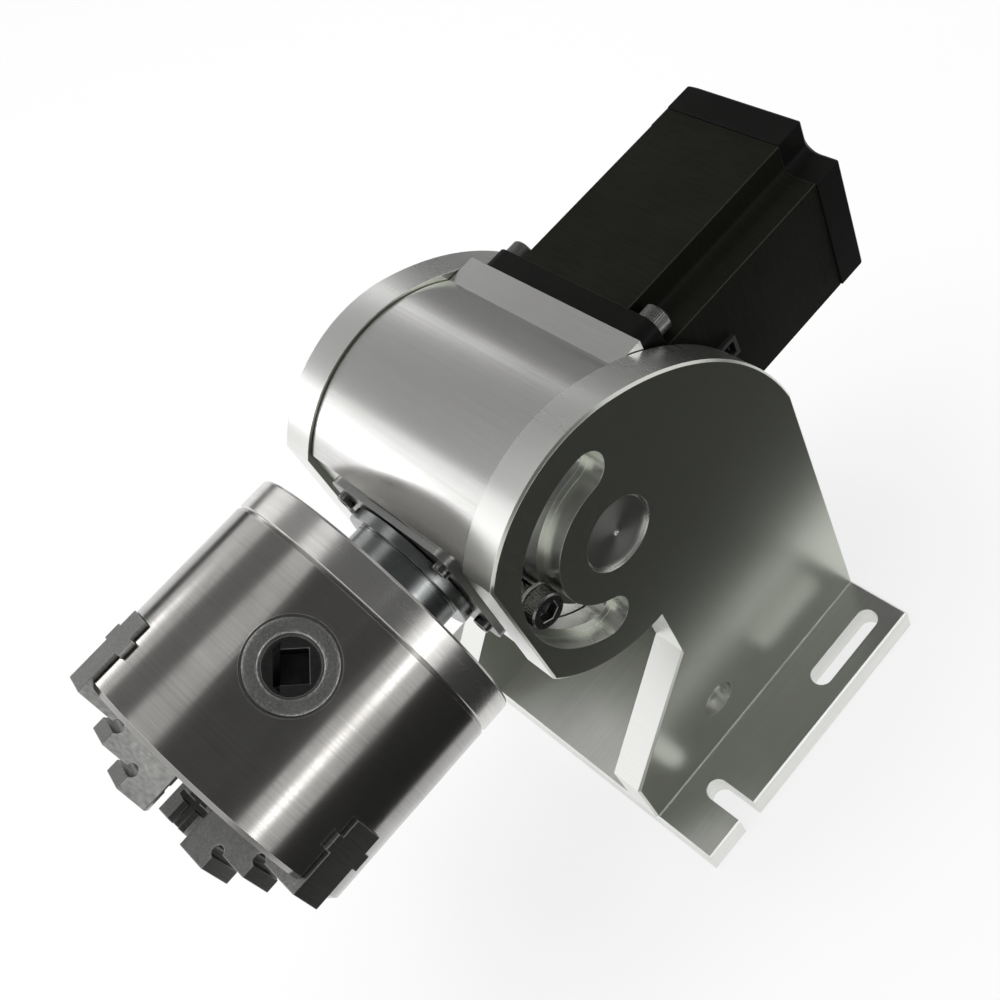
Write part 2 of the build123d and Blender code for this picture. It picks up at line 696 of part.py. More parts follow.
right_upright = upright()
outer_races = []
inner_races = []
for centre_x in bearing_centres():
    outer_races.append(bearing_ring(centre_x, bearing_outer_radius - bearing_ring_wall, bearing_outer_radius))
    inner_races.append(bearing_ring(centre_x, bearing_inner_radius, bearing_inner_radius + bearing_ring_wall))
parts = {
    "base_plate": base_plate(),
    "upright_right": right_upright,
    "upright_left": mirror(right_upright, Plane.XZ),
    "foot_screws": foot_screws(),
    "drum": drum(),
    "pivot_pin_right": pivot_pin(1),
    "pivot_pin_left": pivot_pin(-1),
    "lock_washer_right": lock_washer(1),
    "lock_washer_left": lock_washer(-1),
    "lock_screw_right": lock_screw(1),
    "lock_screw_left": lock_screw(-1),
    "bearing_outer_races": as_group(outer_races),
    "bearing_inner_races": as_group(inner_races),
    "bearing_balls": as_group([ball for x in bearing_centres() for ball in bearing_balls(x)]),
    "bearing_retainer": bearing_retainer(),
    "retainer_screws": retainer_screws(),
    "spindle": spindle(),
    "shaft_coupling": shaft_coupling(),
    "chuck_backplate": chuck_backplate(),
    "chuck_screws": chuck_screws(),
    "chuck_body": chuck_body(),
    "scroll_cover": scroll_cover(),
    "scroll_plate": scroll_plate(),
    "spot_rings": spot_rings(),
    "motor_flange": motor_flange(),
    "motor_stack": motor_stack(),
    "motor_rear_cap": motor_rear_cap(),
    "motor_cap_screws": motor_cap_screws(),
    "motor_bolts": motor_bolts(),
    "motor_shaft": motor_shaft(),
    "motor_socket": motor_socket(),
}
for number, angle in enumerate(pinion_angles, start=1):
    parts[f"pinion_{number}"] = pinion(angle)
for number, angle in enumerate(jaw_angles, start=1):
    parts[f"jaw_{number}"] = jaw(angle)

os.makedirs("parts", exist_ok=True)
for name, shape in parts.items():
    export_step(shape, f"parts/{name}.step")
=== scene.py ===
import json
import logging
import math
from collections.abc import Callable
from dataclasses import dataclass
from enum import Enum

import bmesh
import bpy
import numpy as np
from mathutils import Matrix, Vector


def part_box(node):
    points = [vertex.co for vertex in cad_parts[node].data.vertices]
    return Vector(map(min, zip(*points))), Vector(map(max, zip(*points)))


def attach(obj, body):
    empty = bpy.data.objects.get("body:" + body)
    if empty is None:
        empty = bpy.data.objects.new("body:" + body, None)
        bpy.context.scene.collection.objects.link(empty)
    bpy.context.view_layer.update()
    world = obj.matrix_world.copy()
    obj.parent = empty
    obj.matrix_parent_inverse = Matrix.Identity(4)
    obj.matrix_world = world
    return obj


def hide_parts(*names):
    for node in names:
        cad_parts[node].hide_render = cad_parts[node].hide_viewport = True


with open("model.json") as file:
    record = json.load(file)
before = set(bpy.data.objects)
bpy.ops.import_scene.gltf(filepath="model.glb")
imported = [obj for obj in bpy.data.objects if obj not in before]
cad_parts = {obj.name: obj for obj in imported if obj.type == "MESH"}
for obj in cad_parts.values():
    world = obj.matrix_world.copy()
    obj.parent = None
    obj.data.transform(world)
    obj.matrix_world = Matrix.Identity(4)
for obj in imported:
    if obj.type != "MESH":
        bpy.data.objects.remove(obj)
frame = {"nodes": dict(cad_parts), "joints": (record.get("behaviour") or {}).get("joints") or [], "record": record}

# The looks of a laser rotary axis: a three-jaw chuck on a motor-driven spindle that tilts between
# two uprights. Sizes are in metres. +X points out of the chuck, +Y to the right-hand upright.

LOG = logging.getLogger("rotary_axis")
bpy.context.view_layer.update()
PIVOT_Z = next(joint["pos_m"][2] for joint in frame["joints"] if joint["name"] == "tilt")
SIDES = {"right": 1, "left": -1}
THREE = (1, 2, 3)
AXIS_X, AXIS_Y, AXIS_Z = Vector((1, 0, 0)), Vector((0, 1, 0)), Vector((0, 0, 1))
FULL_TURN = 2 * math.pi
GROOVE_TURN = 0.25

# How meshes are merged and smoothed: distances in metres, angles in degrees.
CAD_WELD, SKIN_WELD = 2e-6, 1e-6
FLAT_ANGLE = 0.6
CAD_CREASE, SKIN_CREASE, ALL_SMOOTH = 28.0, 32.0, 180.0
BEVEL_ANGLE, BEVEL_SEGMENTS = 32.0, 2

Colour = tuple[float, float, float]
Place = tuple[float, float, float]
Source = float | tuple | bpy.types.Node


class Marks(Enum):
    """How the tool left a surface."""

    TURNED = "rings about the chuck axis"
    FACED = "rings about the tilt axis"
    MILLED = "strokes along X"
    CROSSED = "strokes along Y"
    GROUND = "fine strokes across X"
    CAST = "rough skin"
    LAYERED = "thin sheets stacked along X"
    COATED = "fine grain of a sprayed coat"


class Board:
    """A node tree with short ways to add and join nodes.

    A source is a number, a colour, a node, whose first output is taken, or a pair of a node or its
    name and one of its outputs.
    """

    def __init__(self, tree: bpy.types.NodeTree) -> None:
        """Keeps the tree.

        Args:
            tree: The material's or group's node tree.
        """
        self.tree = tree

    def add(self, kind: str, *sources: Source, **settings: object) -> bpy.types.Node:
        """Adds a node.

        Args:
            kind: Its type.
            sources: What goes into its inputs, in order.
            settings: Properties to set on it.

        Returns:
            The node.
        """
        node = self.tree.nodes.new(kind)
        for key, value in settings.items():
            setattr(node, key, value)
        for socket, source in enumerate(sources):
            self.feed(source, node, socket)
        return node

    def find(self, node: str | bpy.types.Node) -> bpy.types.Node:
        """The node itself, or the one with that name."""
        return self.tree.nodes[node] if isinstance(node, str) else node

    def feed(self, source: Source, target: str | bpy.types.Node, socket: str | int) -> None:
        """Sets an input to a number or colour, or links it to an output.

        Args:
            source: What goes in.
            target: The node, or its name, that it enters.
            socket: The input's name or number.
        """
        entry = self.find(target).inputs[socket]
        if isinstance(source, bpy.types.Node):
            self.tree.links.new(source.outputs[0], entry)
        elif not isinstance(source, tuple):
            entry.default_value = source
        elif isinstance(source[0], float):
            entry.default_value = (*source, 1.0)
        else:
            self.tree.links.new(self.find(source[0]).outputs[source[1]], entry)

    def put_out(self, **results: Source) -> None:
        """Links results to the group's outputs of the same names."""
        for label, source in results.items():
            self.feed(source, "out", label)

    def math(self, operation: str, *operands: Source) -> bpy.types.Node:
        """Adds a Math node with its operands in order."""
        return self.add("ShaderNodeMath", *operands, operation=operation)

    def divided(self, source: Source, size: Source) -> bpy.types.Node:
        """Adds a vector divided by a size.

        Args:
            source: The vector.
            size: The size.

        Returns:
            The node.
        """
        node = self.add("ShaderNodeVectorMath", source, operation="SCALE")
        self.feed(self.math("DIVIDE", 1.0, size), node, "Scale")
        return node

    def noise(self, place: Source, scale: float, detail: float) -> bpy.types.Node:
        """Adds a Noise Texture.

        Args:
            place: Its coordinates.
            scale: Its scale.
            detail: Its number of octaves.

        Returns:
            The node.
        """
        node = self.add("ShaderNodeTexNoise")
        node.inputs["Scale"].default_value = scale
        node.inputs["Detail"].default_value = detail
        self.feed(place, node, "Vector")
        return node

    def ranged(self, source: Source, start: float, end: float, low: float = 0.0,
               high: float = 1.0) -> bpy.types.Node:
        """Adds a Map Range node.

        Args:
            source: The number to map.
            start: Where it gives low.
            end: Where it gives high.
            low: The result at start.
            high: The result at end.

        Returns:
            The node.
        """
        node = self.add("ShaderNodeMapRange")
        for label, value in (("From Min", start), ("From Max", end), ("To Min", low), ("To Max", high)):
            node.inputs[label].default_value = value
        self.feed(source, node, "Value")
        return node

    def blend(self, mask: Source, low: Source, high: Source) -> tuple[bpy.types.Node, int]:
        """Adds a colour Mix node.

        Args:
            mask: Its factor.
            low: The colour at mask 0.
            high: The colour at mask 1.

        Returns:
            The mixed colour as a source.
        """
        node = self.add("ShaderNodeMix", data_type="RGBA")
        for source, socket in ((mask, 0), (low, 6), (high, 7)):
            self.feed(source, node, socket)
        return node, 2


class ShaderGroups:
    """Node groups for effects that several finishes share, each built once."""

    mark_inputs = {"Vector": None, "Pitch": 0.001}
    mark_outputs = ("Fine", "Broad")
    broad_rings = 0.13
    stroke_squeeze = 0.025
    broad_strokes = 0.09
    broad_skin = 0.2
    sheet_squeeze = 0.06
    sheet_gain = 3.0
    cloud_range = (0.35, 0.68)
    lean_range = (0.995, 0.86)
    bevel_samples = 6

    def __init__(self) -> None:
        """Starts with no group built."""
        self.built: dict[str, bpy.types.NodeTree] = {}

    def shared(self, build: Callable[[], bpy.types.NodeTree]) -> bpy.types.NodeTree:
        """Hands out the group that one of the methods below builds.

        Args:
            build: The method, called the first time only.

        Returns:
            The node group.
        """
        name = build.__name__
        if name not in self.built:
            self.built[name] = build()
        return self.built[name]

    def start(self, name: str, inputs: dict[str, float | None], outputs: tuple[str, ...]) -> Board:
        """Makes an empty group with its sockets.

        Args:
            name: The group's name.
            inputs: Each input's default number, or None for a vector.
            outputs: Names of the outputs, all numbers.

        Returns:
            The group's board.
        """
        tree = bpy.data.node_groups.new(name, "ShaderNodeTree")
        for label, value in inputs.items():
            kind = "NodeSocketVector" if value is None else "NodeSocketFloat"
            socket = tree.interface.new_socket(label, in_out="INPUT", socket_type=kind)
            if value is not None:
                socket.default_value = value
        for label in outputs:
            tree.interface.new_socket(label, in_out="OUTPUT", socket_type="NodeSocketFloat")
        tree.nodes.new("NodeGroupInput").name = "in"
        tree.nodes.new("NodeGroupOutput").name = "out"
        return Board(tree)

    def lathe_rings(self) -> bpy.types.NodeTree:
        """Lines left by a lathe about the X axis: noise over distance along the axis and from it.

        Returns:
            The group, with outputs Fine and Broad, both about 0.5 on average.
        """
        board = self.start("lathe_rings", self.mark_inputs, self.mark_outputs)
        split = board.add("ShaderNodeSeparateXYZ", ("in", "Vector"))
        square_y = board.math("MULTIPLY", (split, 1), (split, 1))
        square_z = board.math("MULTIPLY", (split, 2), (split, 2))
        radius = board.math("SQRT", board.math("ADD", square_y, square_z))
        along = board.math("DIVIDE", split, ("in", "Pitch"))
        across = board.math("DIVIDE", radius, ("in", "Pitch"))
        place = board.add("ShaderNodeCombineXYZ", along, across)
        board.put_out(Fine=board.noise(place, 1.0, 2.0), Broad=board.noise(place, self.broad_rings, 3.0))
        return board.tree

    def cutter_strokes(self) -> bpy.types.NodeTree:
        """Long straight strokes along the vector's X: noise squeezed forty times across.

        Returns:
            The group, with outputs Fine and Broad, both about 0.5 on average.
        """
        board = self.start("cutter_strokes", self.mark_inputs, self.mark_outputs)
        split = board.add("ShaderNodeSeparateXYZ", ("in", "Vector"))
        slow = board.math("MULTIPLY", split, self.stroke_squeeze)
        parts = [board.math("DIVIDE", part, ("in", "Pitch")) for part in (slow, (split, 1), (split, 2))]
        place = board.add("ShaderNodeCombineXYZ", *parts)
        board.put_out(Fine=board.noise(place, 1.0, 0.0), Broad=board.noise(place, self.broad_strokes, 2.0))
        return board.tree

    def rough_skin(self) -> bpy.types.NodeTree:
        """Lumpy or grainy skin: a fine noise and one of five times its size.

        Returns:
            The group, with outputs Fine and Broad.
        """
        board = self.start("rough_skin", self.mark_inputs, self.mark_outputs)
        place = board.divided(("in", "Vector"), ("in", "Pitch"))
        board.put_out(Fine=board.noise(place, 1.0, 4.0), Broad=board.noise(place, self.broad_skin, 3.0))
        return board.tree

    def sheet_stack(self) -> bpy.types.NodeTree:
        """Thin sheets stacked along X: a fine saw of lines, broken up by noise along each sheet.

        Returns:
            The group, with outputs Fine and Broad.
        """
        board = self.start("sheet_stack", self.mark_inputs, self.mark_outputs)
        split = board.add("ShaderNodeSeparateXYZ", ("in", "Vector"))
        steps = board.math("DIVIDE", split, ("in", "Pitch"))
        saw = board.math("PINGPONG", steps, 0.5)
        sides = (board.math("DIVIDE", (split, index), ("in", "Pitch")) for index in (1, 2))
        slow = [board.math("MULTIPLY", side, self.sheet_squeeze) for side in sides]
        place = board.add("ShaderNodeCombineXYZ", board.math("FLOOR", steps), *slow)
        broken = board.noise(place, 1.0, 2.0)
        lines = board.math("MULTIPLY", saw, broken)
        board.put_out(Fine=board.math("MULTIPLY", lines, self.sheet_gain), Broad=broken)
        return board.tree

    def handling(self) -> bpy.types.NodeTree:
        """Faint smears and dust of handling: cloudy noise spread over most of its range.

        Returns:
            The group, with output Mask from 0 to 1.
        """
        board = self.start("handling", {"Vector": None, "Size": 0.02}, ("Mask",))
        cloud = board.noise(board.divided(("in", "Vector"), ("in", "Size")), 1.0, 5.0)
        board.put_out(Mask=board.ranged(cloud, *self.cloud_range))
        return board.tree

    def worn_edges(self) -> bpy.types.NodeTree:
        """Bright rubbed edges: how far a rounded normal leans from the true one.

        Returns:
            The group, with output Mask, 0 on flats and up to 1 on sharp edges.
        """
        board = self.start("worn_edges", {"Radius": 0.0004}, ("Mask",))
        rounded = board.add("ShaderNodeBevel", samples=self.bevel_samples)
        board.feed(("in", "Radius"), rounded, "Radius")
        geometry = board.add("ShaderNodeNewGeometry")
        lean = board.add("ShaderNodeVectorMath", rounded, (geometry, "Normal"), operation="DOT_PRODUCT")
        board.put_out(Mask=board.ranged((lean, "Value"), *self.lean_range))
        return board.tree

    def for_marks(self, marks: Marks) -> bpy.types.NodeTree:
        """The group that draws one kind of tool mark."""
        builders = {Marks.TURNED: self.lathe_rings, Marks.FACED: self.lathe_rings,
                    Marks.MILLED: self.cutter_strokes, Marks.CROSSED: self.cutter_strokes,
                    Marks.GROUND: self.cutter_strokes, Marks.LAYERED: self.sheet_stack,
                    Marks.CAST: self.rough_skin, Marks.COATED: self.rough_skin}
        return self.shared(builders[marks])


@dataclass(frozen=True)
class Finish:
    """One surface finish. A rim highlight colour is a painted highlight on a plate's cut rims, which face away
    from Y.
    """

    name: str
    slot: str
    dark: Colour
    light: Colour
    roughness: float
    spread: float
    marks: Marks
    pitch: float
    relief: float = 0.0
    metallic: float = 1.0
    smears: float = 0.3
    worn: float = 0.0
    worn_colour: Colour = (0.80, 0.80, 0.78)
    broad_share: float = 0.5
    specular: float = 0.5
    stretch: float = 0.0
    rim_highlight_colour: Colour | None = None

    def placed(self, board: Board) -> bpy.types.Node:
        """Adds object coordinates, centred on the tilt axis and turned so that strokes run along X.

        Args:
            board: The material's nodes.

        Returns:
            The Mapping node.
        """
        quarter = math.pi / 2
        coordinates = board.add("ShaderNodeTexCoord")
        mapping = board.add("ShaderNodeMapping")
        mapping.inputs["Location"].default_value = (0.0, 0.0, -PIVOT_Z)
        if self.marks in (Marks.FACED, Marks.CROSSED):
            mapping.inputs["Rotation"].default_value = (0.0, 0.0, -quarter)
        if self.marks is Marks.GROUND:
            mapping.inputs["Rotation"].default_value = (0.0, quarter, 0.0)
            mapping.inputs["Location"].default_value = (-PIVOT_Z, 0.0, 0.0)
        board.feed((coordinates, "Object"), mapping, "Vector")
        return mapping

    def material(self, groups: ShaderGroups) -> bpy.types.Material:
        """Builds the material: marks and smears move the colour and roughness, marks raise the bump.

        Args:
            groups: The shared node groups.

        Returns:
            The material.
        """
        material = bpy.data.materials.new(self.name)
        material.use_nodes = True
        board = Board(material.node_tree)
        shader = board.find("Principled BSDF")
        shader.inputs["Metallic"].default_value = self.metallic
        shader.inputs["Specular IOR Level"].default_value = self.specular
        mapping = self.placed(board)
        drawn = board.add("ShaderNodeGroup", mapping, self.pitch, node_tree=groups.for_marks(self.marks))
        fine = board.math("MULTIPLY", (drawn, "Fine"), 1.0 - self.broad_share)
        broad = board.math("MULTIPLY", (drawn, "Broad"), self.broad_share)
        marked = board.math("ADD", fine, broad)
        # Painted highlight: faces square to Y, the plate's rims, get weaker marks here and a brighter colour
        # below.
        if self.rim_highlight_colour:
            rim = self.rim_highlight_mask(board)
            marked = board.math("MULTIPLY_ADD", board.math("SUBTRACT", marked, 0.5), rim, 0.5)
        smears = board.add("ShaderNodeGroup", mapping, node_tree=groups.shared(groups.handling))
        smeared = board.math("MULTIPLY", smears, self.smears)
        mask = board.math("ADD", marked, board.math("SUBTRACT", smeared, self.smears / 2))
        mask.use_clamp = True
        colour = board.blend(mask, self.light, self.dark)
        # The painted rim highlight: a brighter colour blended onto the rims.
        if self.rim_highlight_colour:
            colour = board.blend(rim, colour, self.rim_highlight_colour)
        if self.worn:
            edges = board.add("ShaderNodeGroup", node_tree=groups.shared(groups.worn_edges))
            colour = board.blend(board.math("MULTIPLY", edges, self.worn), colour, self.worn_colour)
        board.feed(colour, shader, "Base Color")
        rough = board.math("MULTIPLY_ADD", mask, self.spread, self.roughness - self.spread / 2)
        board.feed(rough, shader, "Roughness")
        if self.relief:
            bump = board.add("ShaderNodeBump")
            bump.inputs["Distance"].default_value = self.relief
            board.feed(marked, bump, "Height")
            board.feed(bump, shader, "Normal")
        if self.stretch:
            shader.inputs["Anisotropic"].default_value = self.stretch
            shader.inputs["Anisotropic Rotation"].default_value = GROOVE_TURN
            board.feed(self.groove_way(board, mapping), shader, "Tangent")
        return material

    def rim_highlight_mask(self, board: Board) -> bpy.types.Node:
        """Adds a mask of a plate's rims, where the painted highlight goes: 0 where the surface faces along Y, 1
        square to that.
        """
        facing = board.add("ShaderNodeSeparateXYZ", (board.add("ShaderNodeTexCoord"), "Normal"))
        return board.math("SUBTRACT", 1.0, board.math("ABSOLUTE", (facing, 1)))

    def groove_way(self, board: Board, mapping: bpy.types.Node) -> bpy.types.Node:
        """Adds the direction of the turned grooves: the axis crossed with the place, in world space.

        Args:
            board: The material's nodes.
            mapping: Gives the place, with the turning axis along X.

        Returns:
            A Vector Transform node.
        """
        way = board.add("ShaderNodeVectorMath", operation="CROSS_PRODUCT")
        way.inputs[0].default_value = AXIS_X
        board.feed(mapping, way, 1)
        unturned = board.add("ShaderNodeVectorRotate", rotation_type="Z_AXIS")
        unturned.inputs["Angle"].default_value = math.pi / 2 if self.marks is Marks.FACED else 0.0
        board.feed(way, unturned, "Vector")
        return board.add("ShaderNodeVectorTransform", unturned, vector_type="VECTOR")


FINISHES = (
    # The upright's rims carry a painted highlight in a brighter colour.
    Finish("upright_satin", "upright_metal", (0.47, 0.495, 0.425), (0.56, 0.585, 0.515),
           roughness=0.28, spread=0.04, marks=Marks.CROSSED, pitch=0.0009, worn=0.8, smears=0.25,
           rim_highlight_colour=(0.86, 0.865, 0.84)),
    Finish("base_milled", "base_metal", (0.70, 0.71, 0.68), (0.86, 0.87, 0.84),
           roughness=0.34, spread=0.08, marks=Marks.MILLED, pitch=0.0008, worn=0.8),
    Finish("drum_polished", "drum_metal", (0.70, 0.695, 0.68), (0.88, 0.875, 0.86),
           roughness=0.24, spread=0.08, marks=Marks.CROSSED, pitch=0.0007, relief=2.5e-6, worn=0.5),
    Finish("chuck_ground", "chuck_steel", (0.25, 0.245, 0.235), (0.42, 0.41, 0.395),
           roughness=0.20, spread=0.12, marks=Marks.TURNED, pitch=0.0007, relief=3e-6, worn=0.7,
           smears=0.45, stretch=0.5),
    Finish("backplate_turned", "chuck_steel", (0.55, 0.54, 0.52), (0.78, 0.77, 0.75),
           roughness=0.26, spread=0.18, marks=Marks.TURNED, pitch=0.0006, relief=6e-6, worn=0.5,
           broad_share=0.35, stretch=0.5),
    Finish("jaw_hardened", "jaw_steel", (0.10, 0.10, 0.097), (0.27, 0.27, 0.26),
           roughness=0.30, spread=0.12, marks=Marks.GROUND, pitch=0.0006, relief=8e-6, worn=0.9),
    Finish("ring_cast", "spot_iron", (0.10, 0.10, 0.10), (0.62, 0.62, 0.60),
           roughness=0.34, spread=0.30, marks=Marks.CAST, pitch=0.0006, relief=2.2e-4, worn=0.5,
           broad_share=0.2),
    Finish("pinion_black", "pinion_steel", (0.04, 0.04, 0.04), (0.12, 0.12, 0.12),
           roughness=0.36, spread=0.16, marks=Marks.CAST, pitch=0.0006, relief=2e-5, worn=0.8),
    Finish("spindle_dark", "spindle_steel", (0.20, 0.21, 0.21), (0.38, 0.39, 0.39),
           roughness=0.24, spread=0.12, marks=Marks.TURNED, pitch=0.0006, relief=6e-6, worn=0.6),
    Finish("pivot_faced", "spindle_steel", (0.50, 0.50, 0.49), (0.64, 0.64, 0.62),
           roughness=0.30, spread=0.06, marks=Marks.FACED, pitch=0.0004, relief=2e-6, worn=0.8,
           stretch=0.85),
    Finish("retainer_milled", "retainer_metal", (0.30, 0.31, 0.30), (0.46, 0.46, 0.45),
           roughness=0.34, spread=0.12, marks=Marks.MILLED, pitch=0.0007, relief=4e-6, worn=0.5),
    Finish("bearing_bright", "bearing_steel", (0.60, 0.60, 0.60), (0.74, 0.74, 0.74),
           roughness=0.14, spread=0.06, marks=Marks.TURNED, pitch=0.0006, relief=2e-6),
    Finish("motor_satin", "motor_black", (0.003, 0.003, 0.003), (0.007, 0.007, 0.0065),
           roughness=0.40, spread=0.12, marks=Marks.COATED, pitch=0.0004, relief=1.2e-5, metallic=0.0,
           worn=0.3, worn_colour=(0.05, 0.05, 0.045), specular=0.07),
    Finish("stack_coated", "stack_black", (0.004, 0.004, 0.003), (0.010, 0.010, 0.0075),
           roughness=0.46, spread=0.14, marks=Marks.LAYERED, pitch=0.0005, relief=3e-5, metallic=0.0,
           worn=0.9, worn_colour=(0.10, 0.095, 0.075), specular=0.06),
    Finish("screw_bright", "screw_steel", (0.38, 0.38, 0.37), (0.60, 0.60, 0.58),
           roughness=0.28, spread=0.12, marks=Marks.CAST, pitch=0.0005, relief=6e-6, worn=0.4),
    Finish("screw_black", "screw_dark", (0.10, 0.10, 0.10), (0.22, 0.22, 0.21),
           roughness=0.28, spread=0.12, marks=Marks.CAST, pitch=0.0005, relief=6e-6, worn=0.5),
    Finish("socket_moulded", "socket_plastic", (0.015, 0.015, 0.015), (0.035, 0.035, 0.033),
           roughness=0.45, spread=0.10, marks=Marks.COATED, pitch=0.0006, relief=1e-5, metallic=0.0),
)


class Wardrobe:
    """Hands out each finish's material, built once."""

    def __init__(self) -> None:
        """Starts with the shared groups and no material."""
        self.groups = ShaderGroups()
        self.finishes = {finish.name: finish for finish in FINISHES}
        self.materials: dict[str, bpy.types.Material] = {}

    def wear(self, piece: bpy.types.Object, name: str) -> None:
        """Gives a piece one finish on all its faces.

        Args:
            piece: The object.
            name: The finish's name.
        """
        if name not in self.materials:
            self.materials[name] = self.finishes[name].material(self.groups)
        piece.data.materials.clear()
        piece.data.materials.append(self.materials[name])
        LOG.info("%s wears %s", piece.name, name)


def body_of_node(node: str) -> str:
    """The body that a CAD node rides on."""
    return next(body for body, nodes in frame["record"]["behaviour"]["bodies"].items() if node in nodes)


def linked(name: str, mesh: bpy.types.Mesh) -> bpy.types.Object:
    """Puts a mesh into the scene as an object."""
    piece = bpy.data.objects.new(name, mesh)
    bpy.context.scene.collection.objects.link(piece)
    return piece


def smoothed(shape: bmesh.types.BMesh, crease: float) -> None:
    """Smooths all faces, and keeps an edge between two of them sharp past an angle.

    Args:
        shape: The mesh to change.
        crease: The angle in degrees.
    """
    for face in shape.faces:
        face.smooth = True
    for rim in shape.edges:
        rim.smooth = not rim.is_manifold or rim.calc_face_angle(0.0) < math.radians(crease)


def eased(node: str, wardrobe: Wardrobe, finish: str, edge: float = 0.0) -> bpy.types.Object:
    """Copies a CAD node with its corners joined, smooth round its curves and eased at its edges.

    Args:
        node: The CAD node.
        wardrobe: Gives the material.
        finish: The finish's name.
        edge: Width of the eased edge in metres, or 0 for none.

    Returns:
        The piece, which stands for the node.
    """
    mesh = frame["nodes"][node].data.copy()
    mesh.name = node + "_skin"
    shape = bmesh.new()
    shape.from_mesh(mesh)
    bmesh.ops.remove_doubles(shape, verts=shape.verts, dist=CAD_WELD)
    bmesh.ops.dissolve_limit(shape, angle_limit=math.radians(FLAT_ANGLE), verts=shape.verts,
                             edges=shape.edges)
    smoothed(shape, CAD_CREASE)
    shape.to_mesh(mesh)
    shape.free()
    if "custom_normal" in mesh.attributes:
        mesh.attributes.remove(mesh.attributes["custom_normal"])
    piece = linked(node + "_dressed", mesh)
    if edge:
        bevel = piece.modifiers.new("eased_edges", "BEVEL")
        bevel.width = edge
        bevel.segments = BEVEL_SEGMENTS
        bevel.limit_method = "ANGLE"
        bevel.angle_limit = math.radians(BEVEL_ANGLE)
        bevel.harden_normals = True
    wardrobe.wear(piece, finish)
    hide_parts(node)
    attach(piece, body_of_node(node))
    return piece


def skinned(name: str, points: list[np.ndarray], faces: list[np.ndarray], body: str,
            crease: float) -> bpy.types.Object:
    """Makes a piece of points and faces: merged, faced outwards and smoothed.

    Args:
        name: The piece's name.
        points: Arrays of three coordinates a row.
        faces: Arrays of point numbers a row.
        body: The body that it rides on.
        crease: Edges that turn by more degrees than this stay sharp.

    Returns:
        The object.
    """
    mesh = bpy.data.meshes.new(name)
    mesh.from_pydata(np.concatenate(points).tolist(), [], sum((block.tolist() for block in faces), []))
    shape = bmesh.new()
    shape.from_mesh(mesh)
    bmesh.ops.remove_doubles(shape, verts=shape.verts, dist=SKIN_WELD)
    bmesh.ops.recalc_face_normals(shape, faces=shape.faces)
    smoothed(shape, crease)
    shape.to_mesh(mesh)
    shape.free()
    piece = linked(name, mesh)
    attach(piece, body)
    LOG.info("%s: %d faces", name, len(mesh.polygons))
    return piece


def laid(name: str, grids: list[np.ndarray], body: str) -> bpy.types.Object:
    """Makes one closed piece from grids of points, each wrapped round its second parameter.

    Each grid is an array of rows, columns and three coordinates. Its first and last rows are shut by
    fans to their middles, so a profile that starts and ends on its axis becomes a closed skin.

    Args:
        name: The piece's name.
        grids: The grids.
        body: The body that it rides on.

    Returns:
        The object.
    """
    points, quads, fans, start = [], [], [], 0
    for grid in grids:
        rows, columns = grid.shape[:2]
        index = np.arange(rows * columns).reshape(rows, columns) + start
        after = np.roll(index, -1, axis=1)
        quads.append(np.stack([index[:-1], after[:-1], after[1:], index[1:]], axis=-1).reshape(-1, 4))
        first, last = start + rows * columns, start + rows * columns + 1
        fans.append(np.stack([np.full(columns, first), after[0], index[0]], axis=-1))
        fans.append(np.stack([np.full(columns, last), index[-1], after[-1]], axis=-1))
        points += [grid.reshape(-1, 3), grid[[0, -1]].mean(axis=1)]
        start += rows * columns + 2
    return skinned(name, points, quads + fans, body, SKIN_CREASE)


def closed_rings(name: str, grids: list[np.ndarray], body: str) -> bpy.types.Object:
    """Makes one piece from grids that wrap round both parameters, as a ring's skin does.

    Args:
        name: The piece's name.
        grids: Arrays of rows, columns and three coordinates.
        body: The body that it rides on.

    Returns:
        The object.
    """
    points, quads, start = [], [], 0
    for grid in grids:
        rows, columns = grid.shape[:2]
        index = np.arange(rows * columns).reshape(rows, columns) + start
        after = np.roll(index, -1, axis=1)
        around = [index, after, np.roll(after, -1, axis=0), np.roll(index, -1, axis=0)]
        quads.append(np.stack(around, axis=-1).reshape(-1, 4))
        points.append(grid.reshape(-1, 3))
        start += rows * columns
    return skinned(name, points, quads, body, ALL_SMOOTH)


def turns(columns: int) -> np.ndarray:
    """Angles of evenly spaced columns round a full turn."""
    return np.linspace(0.0, FULL_TURN, columns, endpoint=False)


def swept(along: np.ndarray, radius: np.ndarray, origin: Vector, axis: Vector, start: Vector) -> np.ndarray:
    """Points round an axis: place = origin + axis x along + radius x (start x cos + third x sin).

    Args:
        along: Distance along the axis of each row, or of each row and column.
        radius: Radius at each row and column.
        origin: Where the axis starts.
        axis: Its direction, of unit length.
        start: A unit direction square to it, at angle 0.

    Returns:
        An array of rows, columns and three coordinates.
    """
    lift = along if along.ndim > 1 else along[:, None]
    angle, third = turns(radius.shape[1]), np.array(axis.cross(start))
    round_it = np.cos(angle)[:, None] * np.array(start) + np.sin(angle)[:, None] * third
    return np.array(origin) + lift[..., None] * np.array(axis) + radius[..., None] * round_it


def polygon_radius(angle: np.ndarray, apothem: float, sides: int) -> np.ndarray:
    """Radius of a regular polygon: apothem over the cosine of the angle from the nearest flat's middle."""
    step = FULL_TURN / sides
    return apothem / np.cos((angle + step / 2) % step - step / 2)


